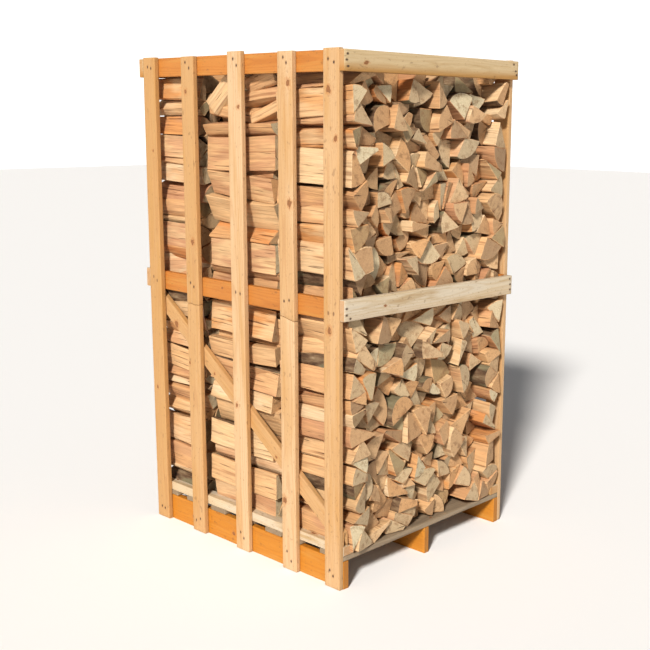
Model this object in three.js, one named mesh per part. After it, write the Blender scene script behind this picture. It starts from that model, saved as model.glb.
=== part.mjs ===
// A tall crate of split firewood on its own pallet. Two slatted panels face front and back,
// pale side rails tie them together, and three bays of logs lie end to end between the panels.
// Millimetres, +Z up. X runs along the slatted panels, Y from the front panel to the back one.
import * as THREE from "three";

// Driving dimensions.
const LENGTH = 1150; // along X, over the outer edges of the end slats
const DEPTH = 1017; // along Y, over the outer faces of the slats
const HEIGHT = 2000; // floor to the top of the slats
const GAP = 0.3; // clearance between boards that touch
const JOINT_GAP = 2; // the open joint where a slat was pieced together

const SLAT = { width: 80, thickness: 22, foot: 3 };
const RAIL = { height: 75, thickness: 24, top: 1996 };
const MID_RAIL = { height: 78, top: 1113 };
const SIDE_RAIL = { height: 75, thickness: 26, top: 1995 };
const SIDE_MID_RAIL = { height: 80, middle: 1075, drop: 14 };
const SILL = { height: 38, depth: 55 };
const BRACE = { width: 64, foot: 190, slope: -0.722 };
const STRINGER = { height: 112, thickness: 28 };
const DECK = { thickness: 21 };
const LOG_COURSES = 8;
const LOG_TOP = 1915; // height of the log pile where it is level
const LOG_REACH = 14; // how far the log ends stand out past the end slats, clear of the rails

// Left edge of each front slat, measured from the left end of the panel, how far its top stands
// above or below HEIGHT, and the height of its butt joint where it was pieced together.
const FRONT_SLATS = [
  { left: 0, top: -1 },
  { left: 255, top: -4, joint: 1000 },
  { left: 545, top: 6 },
  { left: 831, top: -3, joint: 1016 },
  { left: 1070, top: 0 },
];
const BACK_SLATS = [
  { left: 0, top: 0 },
  { left: 272, top: 3 },
  { left: 534, top: -2 },
  { left: 806, top: 4 },
  { left: 1070, top: -1 },
];

// Left edge and width of each deck board.
const DECK_BOARDS = [
  { left: 0, width: 118 },
  { left: 184, width: 95 },
  { left: 352, width: 95 },
  { left: 518, width: 98 },
  { left: 702, width: 95 },
  { left: 824, width: 88 },
  { left: 1020, width: 130 },
];

// Left and right end of each bay of logs. The outer ends are level with the end slats.
const BAYS = {
  left: [0, 308],
  middle: [322, 752],
  right: [766, LENGTH],
};

// The crown of the pile, from the back to the front: the share of the way across, and how far the
// top lies below LOG_TOP there.
const PILE_TOP = [
  { across: 0, drop: 28 },
  { across: 0.32, drop: 2 },
  { across: 0.6, drop: 0 },
  { across: 1, drop: 34 },
];

const MATERIALS = {
  slat: new THREE.MeshStandardMaterial({ color: 0xe3b878, roughness: 0.75, metalness: 0 }),
  rail: new THREE.MeshStandardMaterial({ color: 0xd98a3c, roughness: 0.7, metalness: 0 }),
  side_rail: new THREE.MeshStandardMaterial({ color: 0xc9bd9a, roughness: 0.85, metalness: 0 }),
  pallet: new THREE.MeshStandardMaterial({ color: 0xe0943a, roughness: 0.7, metalness: 0 }),
  deck: new THREE.MeshStandardMaterial({ color: 0xbfae8c, roughness: 0.85, metalness: 0 }),
  log: new THREE.MeshStandardMaterial({ color: 0xc99d6e, roughness: 0.9, metalness: 0 }),
};

// Heights that follow from the driving dimensions.
const DECK_TOP = STRINGER.height + GAP + DECK.thickness;
const SILL_TOP = DECK_TOP + GAP + SILL.height;
const COURSE_HEIGHT = (LOG_TOP - DECK_TOP - GAP) / LOG_COURSES;
const RAIL_COURSE = Math.floor((SIDE_MID_RAIL.middle - DECK_TOP) / COURSE_HEIGHT);
const PANEL_FACE = DEPTH / 2; // distance of a panel's outer face from the middle of the crate
const RAIL_FACE = PANEL_FACE - SLAT.thickness - GAP;
const LOG_FACE = RAIL_FACE - RAIL.thickness - GAP;
const HALF_LENGTH = LENGTH / 2;

const crate = new THREE.Group();

// A straight board between two corners.
function board(name, material, from, to) {
  const size = to.map((value, axis) => value - from[axis]);
  const mesh = new THREE.Mesh(new THREE.BoxGeometry(...size), MATERIALS[material]);
  mesh.name = name;
  mesh.position.set(...from.map((value, axis) => value + size[axis] / 2));
  crate.add(mesh);
  return mesh;
}

// A piece whose outline lies in a vertical plane: points are (across, height) pairs.
function outlinedPiece(name, material, points, thickness) {
  const outline = new THREE.Shape(points.map(([across, height]) => new THREE.Vector2(across, height)));
  const geometry = new THREE.ExtrudeGeometry(outline, { depth: thickness, bevelEnabled: false });
  geometry.rotateX(Math.PI / 2); // the outline now stands up, and the thickness runs towards -Y
  const mesh = new THREE.Mesh(geometry, MATERIALS[material]);
  mesh.name = name;
  crate.add(mesh);
  return mesh;
}

// The part of a convex outline where keep(point) is at least zero; keep is linear.
function clip(points, keep) {
  const kept = [];
  points.forEach((point, i) => {
    const next = points[(i + 1) % points.length];
    const [here, there] = [keep(point), keep(next)];
    if (here >= 0) kept.push(point);
    if (here * there < 0) {
      const share = here / (here - there);
      kept.push(point.map((value, axis) => value + share * (next[axis] - value)));
    }
  });
  return kept;
}

// The two Y limits of a layer of the panel on one side, near = -1 for the front, 1 for the back.
function layer(side, outer, thickness) {
  const [a, b] = [side * outer, side * (outer - thickness)];
  return a < b ? [a, b] : [b, a];
}

function addSlats(panel, side, slats) {
  const [y0, y1] = layer(side, PANEL_FACE, SLAT.thickness);
  slats.forEach(({ left, top, joint }, i) => {
    const x0 = left - HALF_LENGTH;
    const x1 = x0 + SLAT.width;
    const name = `slat_${panel}_${i + 1}`;
    if (joint) {
      board(`${name}_lower`, "slat", [x0, y0, SLAT.foot], [x1, y1, joint - JOINT_GAP / 2]);
      board(`${name}_upper`, "slat", [x0, y0, joint + JOINT_GAP / 2], [x1, y1, HEIGHT + top]);
    } else {
      board(name, "slat", [x0, y0, SLAT.foot], [x1, y1, HEIGHT + top]);
    }
  });
}

function addRails(panel, side) {
  const [y0, y1] = layer(side, RAIL_FACE, RAIL.thickness);
  const rail = (name, top, height) =>
    board(name, "rail", [-HALF_LENGTH, y0, top - height], [HALF_LENGTH, y1, top]);
  rail(`rail_${panel}_top`, RAIL.top, RAIL.height);
  rail(`rail_${panel}_middle`, MID_RAIL.top, MID_RAIL.height);
  const [s0, s1] = layer(side, RAIL_FACE, SILL.depth);
  board(`sill_${panel}`, "side_rail", [-HALF_LENGTH, s0, DECK_TOP + GAP], [HALF_LENGTH, s1, SILL_TOP]);
}

// The diagonal under the middle rail. It falls from the left end of the panel, as seen from outside.
function addBrace(panel, side) {
  const rise = BRACE.width / Math.cos(Math.atan(BRACE.slope)) / 2;
  const across = HALF_LENGTH;
  const middle = (x) => BRACE.foot + BRACE.slope * (x - across);
  const ends = [-across - BRACE.width, across + BRACE.width];
  let outline = [
    [ends[0], middle(ends[0]) - rise],
    [ends[1], middle(ends[1]) - rise],
    [ends[1], middle(ends[1]) + rise],
    [ends[0], middle(ends[0]) + rise],
  ];
  outline = clip(outline, ([x]) => x + across - GAP);
  outline = clip(outline, ([x]) => across - GAP - x);
  outline = clip(outline, ([, z]) => MID_RAIL.top - MID_RAIL.height - GAP - z);
  outline = clip(outline, ([, z]) => z - SILL_TOP - GAP);
  const brace = outlinedPiece(`brace_${panel}`, "slat", outline, RAIL.thickness);
  brace.position.y = -RAIL_FACE + RAIL.thickness;
  if (side > 0) {
    const turned = new THREE.Group();
    turned.rotation.z = Math.PI;
    turned.add(brace);
    crate.add(turned);
  }
}

// The side rails lie outside the end slats and tie the two panels together. The middle one was
// nailed on a little out of level, lower at the back.
function addSideRails(name, side) {
  const inner = side * (HALF_LENGTH + GAP);
  const outer = side * (HALF_LENGTH + SIDE_RAIL.thickness);
  const [x0, x1] = side < 0 ? [outer, inner] : [inner, outer];
  const bottom = SIDE_RAIL.top - SIDE_RAIL.height;
  board(`rail_${name}_top`, "side_rail", [x0, -PANEL_FACE, bottom], [x1, PANEL_FACE, SIDE_RAIL.top]);
  const tilt = Math.atan(SIDE_MID_RAIL.drop / DEPTH);
  const half = (DEPTH * Math.cos(tilt) - SIDE_MID_RAIL.height * Math.sin(tilt)) / 2;
  const mesh = board(
    `rail_${name}_middle`,
    "side_rail",
    [x0, -half, -SIDE_MID_RAIL.height / 2],
    [x1, half, SIDE_MID_RAIL.height / 2],
  );
  mesh.rotation.x = -tilt;
  mesh.position.z = SIDE_MID_RAIL.middle;
}

function addPallet() {
  const reach = RAIL_FACE - STRINGER.thickness / 2;
  Object.entries({ front: -reach, middle: 0, back: reach }).forEach(([place, y]) => {
    const [y0, y1] = [y - STRINGER.thickness / 2, y + STRINGER.thickness / 2];
    board(`stringer_${place}`, "pallet", [-HALF_LENGTH, y0, 0], [HALF_LENGTH, y1, STRINGER.height]);
  });
  DECK_BOARDS.forEach(({ left, width }, i) => {
    const x0 = left - HALF_LENGTH;
    board(
      `deck_board_${i + 1}`,
      "deck",
      [x0, -RAIL_FACE, STRINGER.height + GAP],
      [x0 + width, RAIL_FACE, DECK_TOP],
    );
  });
}

// The outline of one course of logs across the crate. The lowest course fits between the sills and
// the highest one has the pile's crown.
function courseOutline(course) {
  const z0 = DECK_TOP + GAP + course * COURSE_HEIGHT;
  const z1 = z0 + COURSE_HEIGHT - GAP;
  const outline = [];
  if (course === 0) {
    const inner = RAIL_FACE - SILL.depth - GAP;
    const ledge = SILL_TOP + GAP;
    outline.push([-LOG_FACE, ledge], [-inner, ledge], [-inner, z0]);
    outline.push([inner, z0], [inner, ledge], [LOG_FACE, ledge]);
  } else {
    outline.push([-LOG_FACE, z0], [LOG_FACE, z0]);
  }
  if (course === LOG_COURSES - 1) {
    PILE_TOP.forEach(({ across, drop }) => outline.push([LOG_FACE * (1 - 2 * across), z1 - drop]));
  } else {
    outline.push([LOG_FACE, z1], [-LOG_FACE, z1]);
  }
  return outline;
}

// Each bay is a stack of courses of split logs that all lie along X. A course is one solid here, out
// to the tips of its logs. The course behind the middle side rail can't stand out past the slats.
function addLogs() {
  Object.entries(BAYS).forEach(([bay, [left, right]]) => {
    for (let course = 0; course < LOG_COURSES; course += 1) {
      const reach = course === RAIL_COURSE ? 0 : LOG_REACH;
      const start = left === 0 ? -reach : left;
      const end = right === LENGTH ? LENGTH + reach : right;
      const mesh = outlinedPiece(`logs_${bay}_${course + 1}`, "log", courseOutline(course), end - start);
      mesh.rotation.z = Math.PI / 2; // turns the outline across the crate and its thickness along +X
      mesh.position.x = start - HALF_LENGTH;
    }
  });
}

addPallet();
for (const [panel, side, slats] of [
  ["front", -1, FRONT_SLATS],
  ["back", 1, BACK_SLATS],
]) {
  addSlats(panel, side, slats);
  addRails(panel, side);
  addBrace(panel, side);
}
addSideRails("left", -1);
addSideRails("right", 1);
addLogs();

export default crate;
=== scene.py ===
"""Looks of a tall slatted crate of split firewood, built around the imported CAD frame.

Every board is lofted again from its CAD node with softened edges, warp and nails. The logs are split
out of round logs, jammed together bay by bay at both of their ends, and lofted from end to end, so
that each one is a separate closed mesh. Metres, +Z up, in the CAD part's own frame.
"""

import math

import bpy
import numpy as np
from mathutils import Matrix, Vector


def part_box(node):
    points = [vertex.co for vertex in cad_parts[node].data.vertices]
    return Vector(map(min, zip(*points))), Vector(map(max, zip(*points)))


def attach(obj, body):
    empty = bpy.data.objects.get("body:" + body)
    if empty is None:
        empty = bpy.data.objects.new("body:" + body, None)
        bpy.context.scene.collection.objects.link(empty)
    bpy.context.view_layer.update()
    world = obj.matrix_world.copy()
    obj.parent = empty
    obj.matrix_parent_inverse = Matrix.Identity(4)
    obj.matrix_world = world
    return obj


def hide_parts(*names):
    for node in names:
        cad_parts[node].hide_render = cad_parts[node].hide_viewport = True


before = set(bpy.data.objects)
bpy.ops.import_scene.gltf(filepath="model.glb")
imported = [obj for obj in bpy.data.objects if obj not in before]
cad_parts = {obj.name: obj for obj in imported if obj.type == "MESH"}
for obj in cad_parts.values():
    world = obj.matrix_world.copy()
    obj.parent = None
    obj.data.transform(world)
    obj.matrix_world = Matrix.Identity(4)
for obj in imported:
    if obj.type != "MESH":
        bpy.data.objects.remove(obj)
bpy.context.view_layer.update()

SEED = 20
BODY = "root"
BAYS = ("left", "middle", "right")
COURSES = range(1, 9)


# --- Camera, light and floor ---

CAMERA_PLACE = (3.215, -3.1505, 1.762)
CAMERA_YAW, CAMERA_PITCH, CAMERA_ROLL = math.radians(42.44), math.radians(-11.08), math.radians(0.46)
CAMERA_LENS = 58.5
CAMERA_SHIFT = -0.0926

KEY_AZIMUTH, KEY_ELEVATION = math.radians(29), math.radians(32)
KEY_ENERGY, KEY_SOFTNESS, KEY_COLOUR = 4.1, math.radians(8), (1.0, 0.96, 0.90)
SURROUND = ((0.08, 1.0), (0.42, 0.10))  # how bright the surround is, at two heights above the horizon


def make_camera():
    data = bpy.data.cameras.new("camera")
    data.lens = CAMERA_LENS
    data.sensor_width = 36
    data.shift_x = CAMERA_SHIFT
    data.clip_end = 60
    camera = bpy.data.objects.new("camera", data)
    bpy.context.scene.collection.objects.link(camera)
    pose = Matrix.Translation(CAMERA_PLACE)
    for angle, axis in ((CAMERA_YAW, "Z"), (math.pi / 2 + CAMERA_PITCH, "X"), (CAMERA_ROLL, "Z")):
        pose = pose @ Matrix.Rotation(angle, 4, axis)
    camera.matrix_world = pose
    bpy.context.scene.camera = camera


def make_light():
    """A high key from the camera's left, and a pale surround that fills the shadows."""
    key = bpy.data.lights.new("key", "SUN")
    key.energy, key.angle, key.color = KEY_ENERGY, KEY_SOFTNESS, KEY_COLOUR
    lamp = bpy.data.objects.new("key", key)
    lamp.rotation_euler = (math.pi / 2 - KEY_ELEVATION, 0, KEY_AZIMUTH)
    bpy.context.scene.collection.objects.link(lamp)

    world = bpy.data.worlds.new("surround")
    world.use_nodes = True
    nodes, links = world.node_tree.nodes, world.node_tree.links
    direction = nodes.new("ShaderNodeTexCoord")
    height = nodes.new("ShaderNodeSeparateXYZ")
    links.new(direction.outputs["Generated"], height.inputs[0])
    fade = nodes.new("ShaderNodeValToRGB")
    links.new(height.outputs["Z"], fade.inputs["Fac"])
    for element, (place, grey) in zip(fade.color_ramp.elements, SURROUND):
        element.position = place
        element.color = (grey, grey, grey, 1)
    links.new(fade.outputs["Color"], nodes["Background"].inputs["Color"])
    bpy.context.scene.world = world
    bpy.context.scene.view_settings.view_transform = "Standard"
    bpy.context.scene.view_settings.look = "Medium High Contrast"


def make_floor():
    bpy.ops.mesh.primitive_plane_add(size=60)
    floor = bpy.context.object
    floor.name = "floor"
    material = bpy.data.materials.new("floor")
    material.use_nodes = True
    shader = material.node_tree.nodes["Principled BSDF"]
    shader.inputs["Base Color"].default_value = (0.95, 0.95, 0.96, 1)
    shader.inputs["Roughness"].default_value = 0.9
    floor.data.materials.append(material)


# --- Noise ---


def hashed(cells):
    """A repeatable number from 0 to 1 for each row of whole numbers."""
    x, y, z = (cells[..., axis].astype(np.int64) for axis in range(3))
    mixed = (x * 73856093) ^ (y * 19349663) ^ (z * 83492791)
    mixed = (mixed ^ (mixed >> 13)) * 1274126177
    mixed = mixed ^ (mixed >> 16)
    return (mixed & 0xFFFFFF) / 0xFFFFFF


def value_noise(points):
    """Smooth noise from -1 to 1 with a cell one unit wide, at each of the points."""
    cell = np.floor(points).astype(np.int64)
    share = points - cell
    share = share * share * (3 - 2 * share)
    total = 0
    for corner in np.ndindex(2, 2, 2):
        weight = np.where(corner, share, 1 - share)
        value = hashed(cell + np.array(corner))
        total = total + value * weight[..., 0] * weight[..., 1] * weight[..., 2]
    return total * 2 - 1


# --- Lofted meshes, shared by boards and logs ---

CREASE_ANGLE = math.radians(32)


class MeshParts:
    """Vertices, faces and vertex values of many closed pieces that end up in one mesh."""

    def __init__(self):
        self.points, self.faces, self.values, self.count = [], [], {}, 0

    def add(self, points, faces, **values):
        self.points.append(points)
        self.faces.extend(face + self.count for face in faces)
        for name, value in values.items():
            value = np.asarray(value, np.float32)
            if value.ndim == 0:
                value = np.full(len(points), value, np.float32)
            self.values.setdefault(name, []).append(value)
        self.count += len(points)

    def build(self, name, material):
        mesh = bpy.data.meshes.new(name)
        points = np.concatenate(self.points).astype(np.float32)
        loops = np.concatenate([face.ravel() for face in self.faces]).astype(np.int32)
        sizes = np.concatenate([np.full(len(face), face.shape[1]) for face in self.faces])
        mesh.vertices.add(len(points))
        mesh.vertices.foreach_set("co", points.ravel())
        mesh.loops.add(len(loops))
        mesh.loops.foreach_set("vertex_index", loops)
        mesh.polygons.add(len(sizes))
        starts = np.concatenate(([0], np.cumsum(sizes)[:-1])).astype(np.int32)
        mesh.polygons.foreach_set("loop_start", starts)
        mesh.update(calc_edges=True)
        for key, rows in self.values.items():
            value = np.concatenate(rows)
            kind = "FLOAT_VECTOR" if value.ndim == 2 else "FLOAT"
            attribute = mesh.attributes.new(key, kind, "POINT")
            attribute.data.foreach_set("vector" if value.ndim == 2 else "value", value.ravel())
        mesh.polygons.foreach_set("use_smooth", np.ones(len(sizes), bool))
        mesh.set_sharp_from_angle(angle=CREASE_ANGLE)
        mesh.materials.append(material)
        piece = bpy.data.objects.new(name, mesh)
        bpy.context.scene.collection.objects.link(piece)
        return piece


def ring_quads(first, second, ring):
    """Quads between two rings of vertices, whose numbers start at first and second."""
    here = np.arange(ring)
    ahead = (here + 1) % ring
    return np.stack([first + here, first + ahead, second + ahead, second + here], 1)


def loft(rings, first_cap=(), last_cap=()):
    """A closed body through rings of points (sections, ring, 3), capped by shrinking its end rings.

    Returns the points, the faces, and for each point its section and whether it is on a sawn end."""
    sections, ring = rings.shape[:2]
    count = sections * ring
    points = [rings.reshape(-1, 3)]
    section = [np.repeat(np.arange(sections), ring)]
    faces = [ring_quads(row * ring, (row + 1) * ring, ring) for row in range(sections - 1)]
    on_end = [np.zeros(count)]
    for end, caps in ((0, first_cap), (sections - 1, last_cap)):
        edge = rings[end]
        middle = edge.mean(0)
        previous = end * ring
        facing = -1 if end == 0 else 1
        for size in (*caps, 0):
            points.append(middle + (edge - middle) * size if size else middle[None])
            section.append(np.full(len(points[-1]), end))
            on_end.append(np.ones(len(points[-1])))
            quads = ring_quads(previous, count, ring)
            if not size:
                quads = np.column_stack([quads[:, :2], np.full(ring, count)])
            faces.append(quads[:, ::facing])
            previous = count
            count += len(points[-1])
    return np.concatenate(points), faces, np.concatenate(section), np.concatenate(on_end)


def spaced_outline(corners, marks, count, cut):
    """count points round a convex outline, with each corner cut off a little.

    Returns the points, the outward normals, and for each point the mark of the edge that it is on."""
    ahead = np.roll(corners, -1, 0)
    lengths = np.linalg.norm(ahead - corners, axis=1)
    cuts = np.minimum(cut, lengths * 0.3)
    direction = (ahead - corners) / lengths[:, None]
    starts = corners + direction * cuts[:, None]
    ends = ahead - direction * cuts[:, None]
    spans = lengths - 2 * cuts
    total = spans.sum()
    inner = np.maximum(0, np.floor((count - 2 * len(corners)) * spans / total)).astype(int)
    for _ in range(count - 2 * len(corners) - inner.sum()):
        inner[np.argmax(spans / (inner + 1))] += 1
    points, normals, edge_marks = [], [], []
    outward = np.stack([direction[:, 1], -direction[:, 0]], 1)
    for i in range(len(corners)):
        shares = np.linspace(0, 1, inner[i] + 2)[:, None]
        points.append(starts[i] + (ends[i] - starts[i]) * shares)
        normals.append(np.repeat(outward[i : i + 1], inner[i] + 2, 0))
        edge_marks.append(np.full(inner[i] + 2, marks[i]))
    return np.concatenate(points), np.concatenate(normals), np.concatenate(edge_marks)


# --- Logs: splitting ---

MOST_CORNERS = 12  # of a split log's cross-section
ROUND_SIDES = 22  # of the outline of a log before it is split
LOG_RADII, LOG_SQUASH = (0.068, 0.130), (0.86, 1.0)
LARGEST_AREAS = (0.0050, 0.0102)  # a piece is split again while it is larger than one of these
LEAST_AREA = 0.0014  # smaller pieces are kindling, and aren't stacked
LEAST_WIDTH, LARGEST_RATIO = 0.030, 3.2
SHORTEST_EDGE = 0.007


def area_and_middle(outline):
    ahead = np.roll(outline, -1, 0)
    cross = outline[:, 0] * ahead[:, 1] - ahead[:, 0] * outline[:, 1]
    area = cross.sum() / 2
    return area, ((outline + ahead) * cross[:, None]).sum(0) / (6 * area)


def cut_outline(outline, bark, normal, offset):
    """The part of a convex outline where normal . point <= offset, with its edges' bark flags."""
    side = outline @ normal - offset
    points, flags = [], []
    for i in range(len(outline)):
        j = (i + 1) % len(outline)
        if side[i] <= 0:
            points.append(outline[i])
            flags.append(bark[i])
        if side[i] * side[j] < 0:
            share = side[i] / (side[i] - side[j])
            points.append(outline[i] + share * (outline[j] - outline[i]))
            flags.append(bark[i] if side[i] > 0 else 0)
    return np.array(points), flags


def turned(vector, angle):
    c, s = math.cos(angle), math.sin(angle)
    return np.array((vector[0] * c - vector[1] * s, vector[0] * s + vector[1] * c))


def splitting_line(outline, middle, radius, rng):
    """Normal and offset of the next split: through the pith, along a radius, or across the long way."""
    distance = np.linalg.norm(middle)
    if distance < radius * 0.25:
        normal = turned((1, 0), rng.uniform(0, math.pi))
        return normal, rng.normal(0, radius * 0.06)
    if rng.random() < 0.6:
        across = np.array((-middle[1], middle[0])) / distance
        normal = turned(across, rng.normal(0, 0.12))
    else:
        spread = (outline - middle).T @ (outline - middle)
        long_way = np.linalg.eigh(spread)[1][:, 1]
        normal = turned(long_way, rng.normal(0, 0.2))
    return normal, normal @ middle + rng.normal(0, 0.004)


def merge_short_edges(outline, bark):
    points, flags = list(outline), list(bark)
    while len(points) > 3:
        lengths = [np.linalg.norm(points[(i + 1) % len(points)] - points[i]) for i in range(len(points))]
        i = int(np.argmin(lengths))
        if lengths[i] > SHORTEST_EDGE and len(points) <= MOST_CORNERS:
            break
        j = (i + 1) % len(points)
        points[i] = (points[i] + points[j]) / 2
        flags[i] = flags[j]
        del points[j], flags[j]
    return np.array(points), flags


def split_round_log(rng):
    """The cross-sections that one round log is split into, each about its own middle.

    Each is a dict with its corners, its edges' bark flags, its area and where its pith was."""
    radius = rng.uniform(*LOG_RADII)
    squash = rng.uniform(*LOG_SQUASH)
    angles = np.linspace(0, 2 * np.pi, ROUND_SIDES, endpoint=False)
    disc = np.stack([radius * np.cos(angles), radius * squash * np.sin(angles)], 1)
    limit = rng.uniform(*LARGEST_AREAS)
    waiting, pieces, whole = [(disc, [1] * ROUND_SIDES)], [], True
    while waiting:
        outline, bark = waiting.pop()
        area, middle = area_and_middle(outline)
        if area < limit * rng.uniform(0.7, 1.3) and not (whole and rng.random() < 0.9):
            pieces.append((outline, bark, area, middle))
            continue
        whole = False
        normal, offset = splitting_line(outline, middle, radius, rng)
        for sign in (1, -1):
            half, flags = cut_outline(outline, bark, sign * normal, sign * offset)
            if len(half) >= 3:
                waiting.append((half, flags))
    logs = []
    for outline, bark, area, middle in pieces:
        centred = outline - middle
        size = np.ptp(centred @ np.linalg.eigh(centred.T @ centred)[1], axis=0)
        if area > LEAST_AREA and size.min() > max(LEAST_WIDTH, size.max() / LARGEST_RATIO):
            corners, flags = merge_short_edges(centred, bark)
            logs.append({"corners": corners, "bark": flags, "area": area, "pith": -middle})
    return logs


def split_logs(fill_area, rng):
    logs, total = [], 0
    while total < fill_area:
        for log in split_round_log(rng):
            logs.append(log)
            total += log["area"]
    return [logs[i] for i in rng.permutation(len(logs))]


# --- Logs: jamming them together in cross-section ---


def torque(arm, push):
    return arm[:, 0] * push[:, 1] - arm[:, 1] * push[:, 0]


class Stack:
    """Convex outlines that push each other, and the walls of the bay, out of overlap."""

    STEEPNESS = 0.004  # corners this much less deep than the deepest count for much less
    LONGEST_STEP, LARGEST_TURN = 0.012, 0.15
    WALL_PUSH, WALL_TURN = 0.8, 0.5  # how much of an overlap with a wall one step mends, and turns

    def __init__(self, logs, low, high, setback, rng):
        rows = []
        for log in logs:
            corners = log["corners"]
            spare = np.repeat(corners[-1:], MOST_CORNERS - len(corners), 0)
            rows.append(np.vstack([corners, spare]))
        self.local = np.array(rows)
        self.radius = np.linalg.norm(self.local, axis=2).max(1)
        self.inertia = 0.18 * np.array([log["area"] for log in logs]) + 0.0003
        self.low, self.high = low, high
        stands_back = rng.choice((0, 1), (2, len(logs)))
        self.setback = stands_back * rng.uniform(0, setback, (2, len(logs)))

    def corners(self, place, angle, scale):
        c, s = np.cos(angle), np.sin(angle)
        turn = np.stack([np.stack([c, -s], 1), np.stack([s, c], 1)], 1)
        return np.einsum("nij,nmj->nmi", turn, self.local) * scale + place[:, None, :]

    @staticmethod
    def edge_gaps(outlines, others):
        """The outward normals of outlines' edges, and how far outside each edge the other outline is."""
        edges = np.roll(outlines, -1, 1) - outlines
        lengths = np.linalg.norm(edges, axis=2)
        normals = np.stack([edges[..., 1], -edges[..., 0]], 2) / np.maximum(lengths, 1e-9)[..., None]
        gaps = np.einsum("pmk,pqk->pmq", normals, others).min(2)
        gaps -= np.einsum("pmk,pmk->pm", normals, outlines)
        return normals, np.where(lengths > 1e-6, gaps, -np.inf)

    def contact(self, corners, depth):
        """The middle of the corners that are about as deep as the deepest one."""
        weight = np.exp((depth - depth.max(1, keepdims=True)) / self.STEEPNESS)
        return (corners * weight[..., None]).sum(1) / weight.sum(1)[:, None]

    def overlaps(self, place, corners, scale):
        """Pairs that overlap: numbers i and j, the push direction from i to j, depth and contact."""
        apart = np.linalg.norm(place[:, None] - place[None], axis=2)
        reach = (self.radius[:, None] + self.radius[None]) * scale
        i, j = np.nonzero(np.triu(apart < reach, 1))
        first, second = corners[i], corners[j]
        normals_1, gaps_1 = self.edge_gaps(first, second)
        normals_2, gaps_2 = self.edge_gaps(second, first)
        gaps = np.concatenate([gaps_1, gaps_2], 1)
        normals = np.concatenate([normals_1, -normals_2], 1)
        edge = gaps.argmax(1)
        row = np.arange(len(edge))
        widest, direction = gaps[row, edge], normals[row, edge]
        by_first = (edge < MOST_CORNERS)[:, None]
        other = np.where(by_first[..., None], second, first)
        depth = np.einsum("pk,pmk->pm", direction, other) * np.where(by_first, -1, 1)
        hit = widest < 0
        return i[hit], j[hit], direction[hit], -widest[hit], self.contact(other[hit], depth[hit])

    def relax(self, place, angle, steps, scale=1.0, grow_from=1.0, gravity=0.0, rate=0.8):
        """Pushes for a number of steps, while the outlines grow from a share of their size to scale."""
        place, angle = place.copy(), angle.copy()
        for step in range(steps):
            grown = min(1, step / (steps * 0.6))
            size = scale * (grow_from + (1 - grow_from) * grown)
            corners = self.corners(place, angle, size)
            move, turn = np.zeros_like(place), np.zeros_like(angle)
            i, j, direction, depth, contact = self.overlaps(place, corners, size)
            push = direction * (depth * rate * 0.5)[:, None]
            for log, sign in ((i, -1), (j, 1)):
                np.add.at(move, log, sign * push)
                np.add.at(turn, log, sign * torque(contact - place[log], push) / self.inertia[log])
            for axis, wall, sign in (
                (0, self.low[0] + self.setback[0], 1),
                (0, self.high[0] - self.setback[1], -1),
                (1, np.full(len(place), self.low[1]), 1),
                (1, np.full(len(place), self.high[1]), -1),
            ):
                depth = (wall[:, None] - corners[:, :, axis]) * sign
                push = np.zeros_like(place)
                push[:, axis] = sign * np.maximum(depth.max(1), 0) * self.WALL_PUSH
                move += push
                turn += self.WALL_TURN * torque(self.contact(corners, depth) - place, push) / self.inertia
            move[:, 1] -= gravity
            length = np.linalg.norm(move, axis=1)
            place += move * np.minimum(1, self.LONGEST_STEP / np.maximum(length, 1e-9))[:, None]
            angle += np.clip(turn, -self.LARGEST_TURN, self.LARGEST_TURN)
        return place, angle


FILL = 0.862  # the share of a bay's cross-section that is wood
# How far behind the panels some of the outer logs stop.
SETBACK = {"left": 0.004, "middle": 0.026, "right": 0.022}
TOP_RISE = 0.034  # how far the pile rises behind the top rails
FINAL_SCALE = 0.985  # leaves a hair between logs
COLUMNS = 13  # of the grid that the logs start from
SCATTER, SKEW, TWIST = 0.012, 0.017, 0.10  # of the grid, and of the logs' far ends from their near ones
FALL = {"steps": 220, "grow_from": 0.6, "gravity": 0.00002, "rate": 0.7}
PRESS = {"steps": 100, "gravity": 0.00006, "rate": 0.9}
SETTLE = {"scale": FINAL_SCALE, "rate": 0.9}


def stack_bay(low, high, setback, rng):
    """Splits logs for a bay and stacks them. Gives each log its place and turn at both of its ends."""
    width, height = high - low
    logs = split_logs(FILL * width * height, rng)
    stack = Stack(logs, low, high, setback, rng)
    count = len(logs)
    rows = math.ceil(count / COLUMNS)
    cell = np.array([(i % COLUMNS + 0.5, i // COLUMNS + 0.5) for i in range(count)])
    place = low + cell * (width / COLUMNS, (height - 0.03) / rows) + rng.normal(0, SCATTER, (count, 2))
    angle = rng.uniform(0, 2 * np.pi, count)
    place, angle = stack.relax(place, angle, **FALL)
    place, angle = stack.relax(place, angle, **PRESS)
    near = stack.relax(place, angle, 50, **SETTLE)
    skew = rng.normal(0, SKEW, (count, 2))
    twist = rng.normal(0, TWIST, count)
    far = stack.relax(place + skew, angle + twist, 90, **SETTLE)
    for i, log in enumerate(logs):
        log["places"] = (near[0][i], far[0][i])
        log["angles"] = (near[1][i], far[1][i])
    return logs


# --- Logs: meshes ---

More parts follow.
